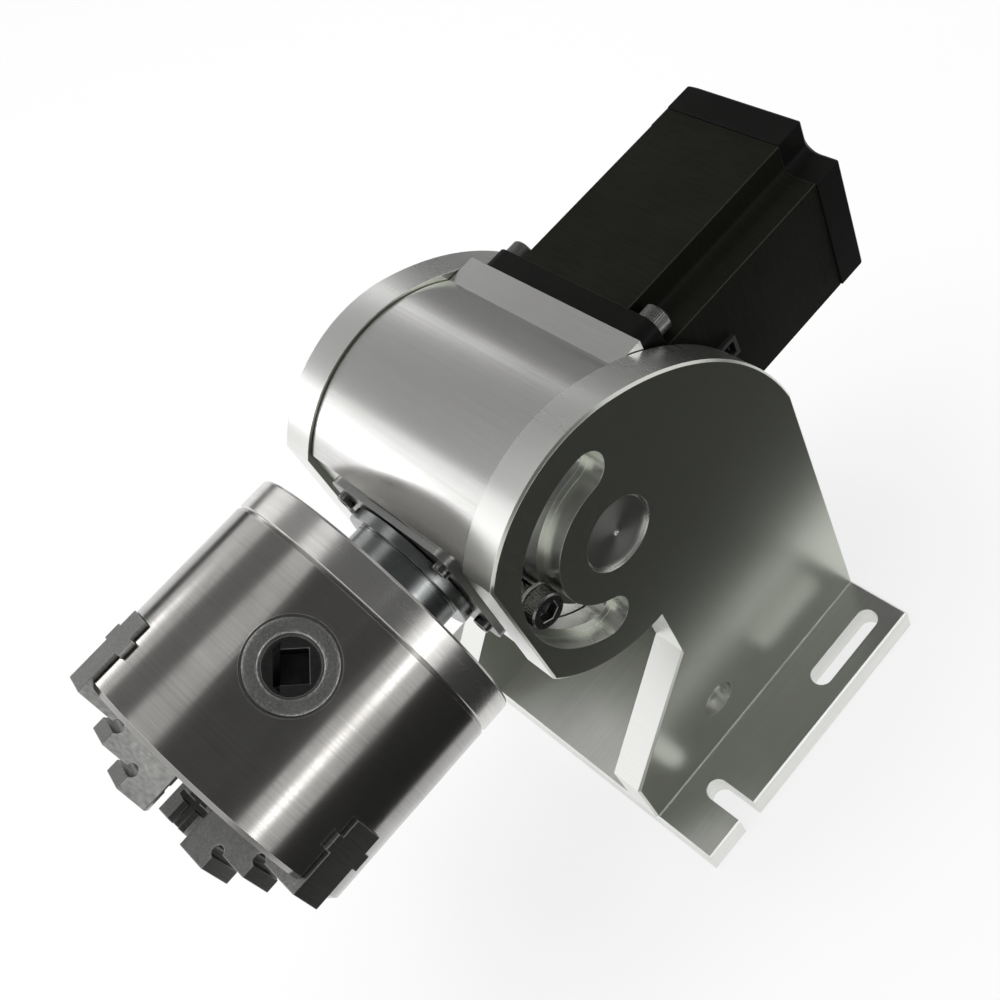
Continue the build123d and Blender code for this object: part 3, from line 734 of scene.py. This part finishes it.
@dataclass(frozen=True)
class CapScrew:
    """A socket cap screw, with its knurled head resting on a seat."""

    shank: float
    length: float
    head: float
    height: float
    knurls: int = 40
    knurl_depth: float = 0.00012
    ease: float = 0.0004
    tip_share: float = 0.8
    hex_share: float = 0.5
    hex_flare: float = 1.06
    hex_depth: float = 0.6
    hex_point_share: float = 0.3
    columns: int = 120

    def grid(self, seat: Vector, out: Vector, start: Vector) -> np.ndarray:
        """The screw's skin: a profile from the tip, up the shank and head, into the hexagon.

        The head's radius swells with the cosine of many turns for the knurl, and the socket's radius
        is a hexagon's.

        Args:
            seat: Middle of the face that the head rests on.
            out: Unit direction from the shank to the head.
            start: A unit direction square to it.

        Returns:
            The grid of points.
        """
        angle = turns(self.columns)
        plain = np.ones(self.columns)
        knurl = self.head - self.knurl_depth * (0.5 + 0.5 * np.cos(angle * self.knurls))
        hexagon = polygon_radius(angle, self.head * self.hex_share, 6)
        top, floor, ease = self.height, self.height * (1 - self.hex_depth), self.ease
        rows = [
            (-self.length, plain * self.shank * self.tip_share), (-self.length + ease, plain * self.shank),
            (0.0, plain * self.shank), (0.0, plain * (self.head - ease / 2)), (ease / 2, knurl),
            (top - ease, knurl), (top, plain * (self.head - ease)), (top, hexagon * self.hex_flare),
            (top - ease / 2, hexagon), (floor, hexagon), (floor - ease, hexagon * self.hex_point_share)]
        along = np.array([row[0] for row in rows])
        radius = np.stack([row[1] for row in rows])
        return swept(along, radius, seat, out, start)

    def fitted(self, name: str, node: str, seats: list[Vector], out: Vector, start: Vector,
               wardrobe: Wardrobe) -> None:
        """Makes a CAD node's screws on their seats, in black steel.

        Args:
            name: The piece's name.
            node: The CAD node that they stand for.
            seats: Each screw's seat.
            out: Unit direction from the shanks to the heads.
            start: A unit direction square to it.
            wardrobe: Gives the material.
        """
        screws = laid(name, [self.grid(seat, out, start) for seat in seats], body_of_node(node))
        wardrobe.wear(screws, "screw_black")
        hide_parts(node)

    def corner_seats(self, node: str, sign: int) -> list[Vector]:
        """Seats along X in the corners of a CAD node's box.

        Args:
            node: The CAD node with the screws.
            sign: 1 if the heads point along +X, -1 if along -X.

        Returns:
            The four seats.
        """
        low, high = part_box(node)
        seat_x = high.x - self.height if sign > 0 else low.x + self.height
        return [Vector((seat_x, y, z)) for y in (low.y + self.head, high.y - self.head)
                for z in (low.z + self.head, high.z - self.head)]


@dataclass
class Stand:
    """The base, the uprights and the screws under them."""

    foot_screw: CapScrew = CapScrew(0.0024, 0.0198, 0.00425, 0.0046)
    middle_screw_x: float = -0.014
    base_edge: float = 0.00022
    upright_edge: float = 0.00045

    def build(self, wardrobe: Wardrobe) -> None:
        """Dresses the base, both uprights and the foot screws.

        Args:
            wardrobe: Gives the materials.
        """
        eased("base_plate", wardrobe, "base_milled", self.base_edge)
        for side in SIDES:
            eased("upright_" + side, wardrobe, "upright_satin", self.upright_edge)
        low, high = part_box("foot_screws")
        radius = self.foot_screw.head
        seat_z = low.z + self.foot_screw.height
        seats = [Vector((x, y, seat_z)) for x in (low.x + radius, self.middle_screw_x, high.x - radius)
                 for y in (low.y + radius, high.y - radius)]
        self.foot_screw.fitted("foot_cap_screws", "foot_screws", seats, -AXIS_Z, AXIS_X, wardrobe)


@dataclass
class TiltHead:
    """The drum with its pivots, locks, bearings and retainer."""

    drum_edge: float = 0.0002
    retainer_edge: float = 0.00012
    washer_edge: float = 0.00008
    pivot_rim: float = 0.0005
    pivot_core_share: float = 0.5
    pivot_columns: int = 160
    centre_radius: float = 0.0008
    centre_point_share: float = 0.05
    lock_screw: CapScrew = CapScrew(0.00295, 0.0135, 0.0049, 0.0042)
    retainer_screw: CapScrew = CapScrew(0.0015, 0.0098, 0.0025, 0.0017, knurls=0, ease=0.0003)

    def build(self, wardrobe: Wardrobe) -> None:
        """Dresses the drum and what it carries.

        Args:
            wardrobe: Gives the materials.
        """
        eased("drum", wardrobe, "drum_polished", self.drum_edge)
        eased("bearing_retainer", wardrobe, "retainer_milled", self.retainer_edge)
        eased("bearing_outer_races", wardrobe, "bearing_bright")
        for side, sign in SIDES.items():
            self.pivot(wardrobe, side, sign)
            self.lock(wardrobe, side, sign)
        seats = self.retainer_screw.corner_seats("retainer_screws", 1)
        self.retainer_screw.fitted("retainer_cap_screws", "retainer_screws", seats, AXIS_X, AXIS_Y, wardrobe)

    def pivot(self, wardrobe: Wardrobe, side: str, sign: int) -> None:
        """A pivot pin as a turned profile: an eased rim, a flat face and a centre mark.

        Args:
            wardrobe: Gives the material.
            side: right or left.
            sign: 1 or -1 along Y.
        """
        node = "pivot_pin_" + side
        low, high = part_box(node)
        radius, length, rim = (high.x - low.x) / 2, high.y - low.y, self.pivot_rim
        mark = self.centre_radius
        along = np.array([0.0, 0.0, length - rim, length, length, length - mark])
        profile = np.array([radius * self.pivot_core_share, radius, radius, radius - rim, mark,
                            mark * self.centre_point_share])
        rings = np.repeat(profile[:, None], self.pivot_columns, axis=1)
        origin = Vector((0, low.y if sign > 0 else high.y, PIVOT_Z))
        skin = swept(along, rings, origin, AXIS_Y * sign, AXIS_X)
        pin = laid("pivot_face_" + side, [skin], body_of_node(node))
        wardrobe.wear(pin, "pivot_faced")
        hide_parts(node)

    def lock(self, wardrobe: Wardrobe, side: str, sign: int) -> None:
        """A lock screw and its washer in the curved slot.

        Args:
            wardrobe: Gives the materials.
            side: right or left.
            sign: 1 or -1 along Y.
        """
        eased("lock_washer_" + side, wardrobe, "screw_bright", self.washer_edge)
        node = "lock_screw_" + side
        low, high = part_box(node)
        outer_y = high.y if sign > 0 else low.y
        seat = Vector(((low.x + high.x) / 2, outer_y - sign * self.lock_screw.height, PIVOT_Z))
        self.lock_screw.fitted("lock_cap_screw_" + side, node, [seat], AXIS_Y * sign, AXIS_X, wardrobe)


@dataclass
class SpindleAndChuck:
    """What turns with the chuck: spindle, bearings' inner races, backplate, shell, rings and pinions."""

    dress: tuple[tuple[str, str, float], ...] = (
        ("spindle", "spindle_dark", 0.0002), ("shaft_coupling", "retainer_milled", 0.0002),
        ("chuck_backplate", "backplate_turned", 0.00015), ("chuck_body", "chuck_ground", 0.0002),
        ("scroll_cover", "spindle_dark", 0.0), ("scroll_plate", "spindle_dark", 0.0002),
        ("bearing_inner_races", "bearing_bright", 0.0), ("bearing_balls", "bearing_bright", 0.0),
        ("motor_shaft", "spindle_dark", 0.0001), ("chuck_screws", "screw_black", 0.0001),
        *((f"pinion_{number}", "pinion_black", 0.0003) for number in THREE))
    ring_columns: int = 180
    ring_rows: int = 36
    ring_width: float = 0.0038
    ring_height: float = 0.0013
    ring_fill: float = 0.96
    ring_squareness: float = 0.55
    ring_proud: float = 0.0004
    ring_lumps: float = 0.00005
    lump_middle: float = 0.4
    lump_waves: tuple[int, ...] = (5, 10, 15, 20, 25, 30, 35, 40)
    seed: int = 7

    def build(self, wardrobe: Wardrobe) -> None:
        """Dresses all turning pieces but the jaws.

        Args:
            wardrobe: Gives the materials.
        """
        for node, finish, edge in self.dress:
            eased(node, wardrobe, finish, edge)
        self.rings(wardrobe)

    def rings(self, wardrobe: Wardrobe) -> None:
        """The rough cast rings round the pinions, each seated a little over its pinion's outer face.

        Args:
            wardrobe: Gives the material.
        """
        low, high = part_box("spot_rings")
        middle_x, outer = (low.x + high.x) / 2, (high.x - low.x) / 2
        draws = np.random.default_rng(self.seed)
        grids = []
        for number in THREE:
            node = f"pinion_{number}"
            spoke = spoke_of(node)
            origin = Vector((middle_x, 0, PIVOT_Z)) + spoke * (reach_of(node, spoke) + self.ring_proud)
            grids.append(self.ring_grid(origin, spoke, outer, draws))
        rings = closed_rings("cast_rings", grids, "chuck")
        wardrobe.wear(rings, "ring_cast")
        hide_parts("spot_rings")

    def ring_grid(self, origin: Vector, spoke: Vector, outer: float,
                  draws: np.random.Generator) -> np.ndarray:
        """One lumpy ring as a grid: rows go round its section, columns round the pinion.

        The section is a squashed circle, whose cosine and sine are raised to a power under 1, and its
        top moves along the spoke by a sum of waves round the ring.

        Args:
            origin: Middle of its seat.
            spoke: Unit direction outwards.
            outer: Its outer radius.
            draws: Source of the lumps.

        Returns:
            The grid of points.
        """
        section, angle = turns(self.ring_rows)[:, None], turns(self.ring_columns)[None, :]
        across = np.sign(np.cos(section)) * np.abs(np.cos(section)) ** self.ring_squareness
        upward = np.sign(np.sin(section)) * np.abs(np.sin(section)) ** self.ring_squareness
        lumps = np.zeros((self.ring_rows, self.ring_columns))
        for wave in self.lump_waves:
            shift = draws.uniform(0.0, FULL_TURN, 2)
            wavy = np.sin(wave * angle + shift[0]) * np.cos(section * (1 + wave % 3) + shift[1])
            lumps += wavy / len(self.lump_waves)
        half = self.ring_width / 2
        radius = np.broadcast_to(outer - half + across * half * self.ring_fill, lumps.shape)
        raised = np.clip(upward, 0, 1) * (lumps - self.lump_middle) * self.ring_lumps
        lift = self.ring_height / 2 * (1 + upward) + raised
        return swept(lift, radius, origin, spoke, AXIS_X)


def spoke_of(node: str) -> Vector:
    """Unit direction from the chuck axis to the middle of a CAD node, square to X."""
    low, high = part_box(node)
    middle = (low + high) / 2
    return Vector((0, middle.y, middle.z - PIVOT_Z)).normalized()


def reach_of(node: str, spoke: Vector) -> float:
    """How far a CAD node reaches along a spoke from the chuck axis."""
    mesh = frame["nodes"][node].data
    places = np.empty(len(mesh.vertices) * 3, np.float32)
    mesh.vertices.foreach_get("co", places)
    places = places.reshape(-1, 3) - np.array([0, 0, PIVOT_Z], np.float32)
    return float((places @ np.array(spoke)).max())


@dataclass
class Jaws:
    """The three stepped jaws."""

    eased_edge: float = 0.00025

    def build(self, wardrobe: Wardrobe) -> None:
        """Dresses each jaw.

        Args:
            wardrobe: Gives the material.
        """
        for number in THREE:
            eased(f"jaw_{number}", wardrobe, "jaw_hardened", self.eased_edge)


@dataclass
class Motor:
    """The square stepping motor behind the drum."""

    dress: tuple[tuple[str, str, float], ...] = (
        ("motor_flange", "motor_satin", 0.0004), ("motor_stack", "stack_coated", 0.0002),
        ("motor_rear_cap", "motor_satin", 0.0003), ("motor_cap_screws", "screw_black", 0.0001),
        ("motor_socket", "socket_moulded", 0.0001))
    bolt: CapScrew = CapScrew(0.0024, 0.0158, 0.0039, 0.0044)

    def build(self, wardrobe: Wardrobe) -> None:
        """Dresses the motor's caps, stack, socket and screws.

        Args:
            wardrobe: Gives the materials.
        """
        for node, finish, edge in self.dress:
            eased(node, wardrobe, finish, edge)
        seats = self.bolt.corner_seats("motor_bolts", -1)
        self.bolt.fitted("motor_cap_bolts", "motor_bolts", seats, -AXIS_X, AXIS_Y, wardrobe)


STUDIO_MIDDLE = (0.0, 0.0, 0.10)


@dataclass(frozen=True)
class Lamp:
    """One soft lamp: where it stands, its size, its strength in watts and what it looks at."""

    name: str
    place: Place
    size: tuple[float, float]
    power: float
    mirrored: bool = True
    target: Place = STUDIO_MIDDLE

    def light(self) -> None:
        """Adds the lamp."""
        data = bpy.data.lights.new(self.name, "AREA")
        data.shape = "RECTANGLE"
        data.size, data.size_y = self.size
        data.energy = self.power
        lamp = linked(self.name, data)
        lamp.location = self.place
        lamp.visible_glossy = self.mirrored
        lamp.rotation_mode = "QUATERNION"
        lamp.rotation_quaternion = (Vector(self.target) - Vector(self.place)).to_track_quat("-Z", "Y")


@dataclass(frozen=True)
class Card:
    """A dark card that only reflections see, as a photographer sets beside bright metal."""

    name: str
    place: Place
    size: tuple[float, float]
    grey: float
    target: Place = STUDIO_MIDDLE

    def stand(self) -> None:
        """Adds the card, facing its target."""
        across, up = self.size[0] / 2, self.size[1] / 2
        corners = [(-across, -up, 0), (across, -up, 0), (across, up, 0), (-across, up, 0)]
        turn = (Vector(self.target) - Vector(self.place)).to_track_quat("Z", "Y").to_matrix().to_4x4()
        move = Matrix.Translation(self.place) @ turn
        mesh = bpy.data.meshes.new(self.name)
        mesh.from_pydata([move @ Vector(corner) for corner in corners], [], [(0, 1, 2, 3)])
        material = bpy.data.materials.new(self.name)
        material.use_nodes = True
        shader = material.node_tree.nodes["Principled BSDF"]
        shader.inputs["Base Color"].default_value = (self.grey, self.grey, self.grey, 1)
        shader.inputs["Roughness"].default_value = 1.0
        mesh.materials.append(material)
        card = linked(self.name, mesh)
        card.visible_camera = False
        card.visible_diffuse = False
        card.visible_shadow = False
        card.visible_transmission = False


@dataclass
class Studio:
    """The pale floor, the background, the lamps, the cards and the camera."""

    lamps: tuple[Lamp, ...] = (
        Lamp("key_lamp", (0.10, -0.20, 0.90), (0.70, 0.50), 5.0, mirrored=False),
        Lamp("left_lamp", (0.45, -0.90, 0.42), (0.80, 0.16), 1.2),
        Lamp("right_lamp", (-0.15, 0.95, 0.24), (0.90, 0.10), 0.9))
    cards: tuple[Card, ...] = (
        Card("card_overhead", (-0.10, 0.25, 0.95), (1.60, 0.80), 0.14),
        Card("card_right", (0.00, 0.90, 0.72), (1.60, 0.50), 0.12),
        Card("card_high_left", (-0.15, -0.62, 0.85), (1.50, 0.50), 0.34),
        Card("card_back_left", (-0.85, -0.50, 0.30), (0.80, 0.60), 0.20),
        Card("card_left", (0.0, -0.95, 0.06), (1.60, 0.26), 0.06, (0.0, 0.0, 0.06)),
        Card("card_floor", (0.0, 0.385, 0.002), (1.40, 0.63), 0.03, (0.0, 0.385, 1.0)),
        Card("card_floor_left", (-0.40, -0.45, 0.002), (0.70, 0.74), 0.20, (-0.40, -0.45, 1.0)))
    floor_half: float = 20.0
    floor_drop: float = 0.0002
    floor_grey: float = 0.86
    floor_roughness: float = 0.9
    glow_reach: tuple[float, float] = (0.35, 1.5)
    glow_share: tuple[float, float] = (0.75, 1.0)
    world_grey: float = 0.65
    camera_place: Place = (0.07584, 0.21344, 0.37361)
    camera_right: Place = (-0.65933, 0.66714, -0.34671)
    camera_down: Place = (0.71512, 0.41407, -0.56316)
    camera_ahead: Place = (-0.23215, -0.61925, -0.75009)
    focal_pixels: float = 1349.1
    centre_pixels: tuple[float, float] = (522.9, 460.8)
    picture_pixels: float = 1000.0
    sensor_mm: float = 36.0
    clip_start: float = 0.01

    def build(self) -> None:
        """Sets the whole studio."""
        self.camera()
        self.floor()
        self.world()
        for lamp in self.lamps:
            lamp.light()
        for card in self.cards:
            card.stand()

    def camera(self) -> None:
        """Places the camera as it was fitted to the photograph."""
        data = bpy.data.cameras.new("camera")
        data.sensor_width = self.sensor_mm
        data.lens = self.focal_pixels / self.picture_pixels * self.sensor_mm
        data.shift_x = (self.picture_pixels / 2 - self.centre_pixels[0]) / self.picture_pixels
        data.shift_y = (self.centre_pixels[1] - self.picture_pixels / 2) / self.picture_pixels
        data.clip_start = self.clip_start
        camera = linked("camera", data)
        down, ahead = Vector(self.camera_down), Vector(self.camera_ahead)
        columns = Matrix((self.camera_right, -down, -ahead)).transposed()
        camera.matrix_world = Matrix.Translation(self.camera_place) @ columns.to_4x4()
        bpy.context.scene.camera = camera

    def floor(self) -> None:
        """Lays the pale floor, whose glow for the background's rays goes to full white with distance."""
        half, height = self.floor_half, -self.floor_drop
        mesh = bpy.data.meshes.new("floor")
        mesh.from_pydata([(-half, -half, height), (half, -half, height), (half, half, height),
                          (-half, half, height)], [], [(0, 1, 2, 3)])
        material = bpy.data.materials.new("floor")
        material.use_nodes = True
        board = Board(material.node_tree)
        matt = board.find("Principled BSDF")
        matt.inputs["Base Color"].default_value = (self.floor_grey, self.floor_grey, self.floor_grey, 1.0)
        matt.inputs["Roughness"].default_value = self.floor_roughness
        matt.inputs["Specular IOR Level"].default_value = 0.0
        glow = board.add("ShaderNodeEmission")
        glow.inputs["Color"].default_value = (1.0, 1.0, 1.0, 1.0)
        coordinates = board.add("ShaderNodeTexCoord")
        distance = board.add("ShaderNodeVectorMath", (coordinates, "Object"), operation="LENGTH")
        share = board.ranged((distance, "Value"), *self.glow_reach, *self.glow_share)
        shown = board.math("MULTIPLY", self.background_rays(board), share)
        both = board.add("ShaderNodeMixShader", shown, matt, glow)
        board.feed(both, "Material Output", "Surface")
        mesh.materials.append(material)
        linked("floor", mesh)

    def background_rays(self, board: Board) -> bpy.types.Node:
        """Adds a mask that is 1 for rays that show the background: camera, glossy and transmission."""
        path = board.add("ShaderNodeLightPath")
        seen = board.math("MAXIMUM", (path, "Is Camera Ray"), (path, "Is Glossy Ray"))
        return board.math("MAXIMUM", seen, (path, "Is Transmission Ray"))

    def world(self) -> None:
        """Gives a grey surround that lights the object, seen as white by the background's rays."""
        world = bpy.data.worlds.new("studio")
        world.use_nodes = True
        bpy.context.scene.world = world
        board = Board(world.node_tree)
        surround = board.find("Background")
        surround.inputs["Color"].default_value = (self.world_grey, self.world_grey, self.world_grey, 1.0)
        white = board.add("ShaderNodeBackground")
        white.inputs["Color"].default_value = (1.0, 1.0, 1.0, 1.0)
        both = board.add("ShaderNodeMixShader", self.background_rays(board), surround, white)
        board.feed(both, "World Output", "Surface")


def main() -> None:
    """Builds the studio, then each sub-assembly in order."""
    logging.basicConfig(level=logging.INFO, format="%(message)s")
    bpy.context.scene.view_settings.view_transform = "Standard"
    wardrobe = Wardrobe()
    Studio().build()
    for part in (Stand(), TiltHead(), SpindleAndChuck(), Jaws(), Motor()):
        part.build(wardrobe)
        LOG.info("built %s", type(part).__name__)


if __name__ == "__main__":
    main()
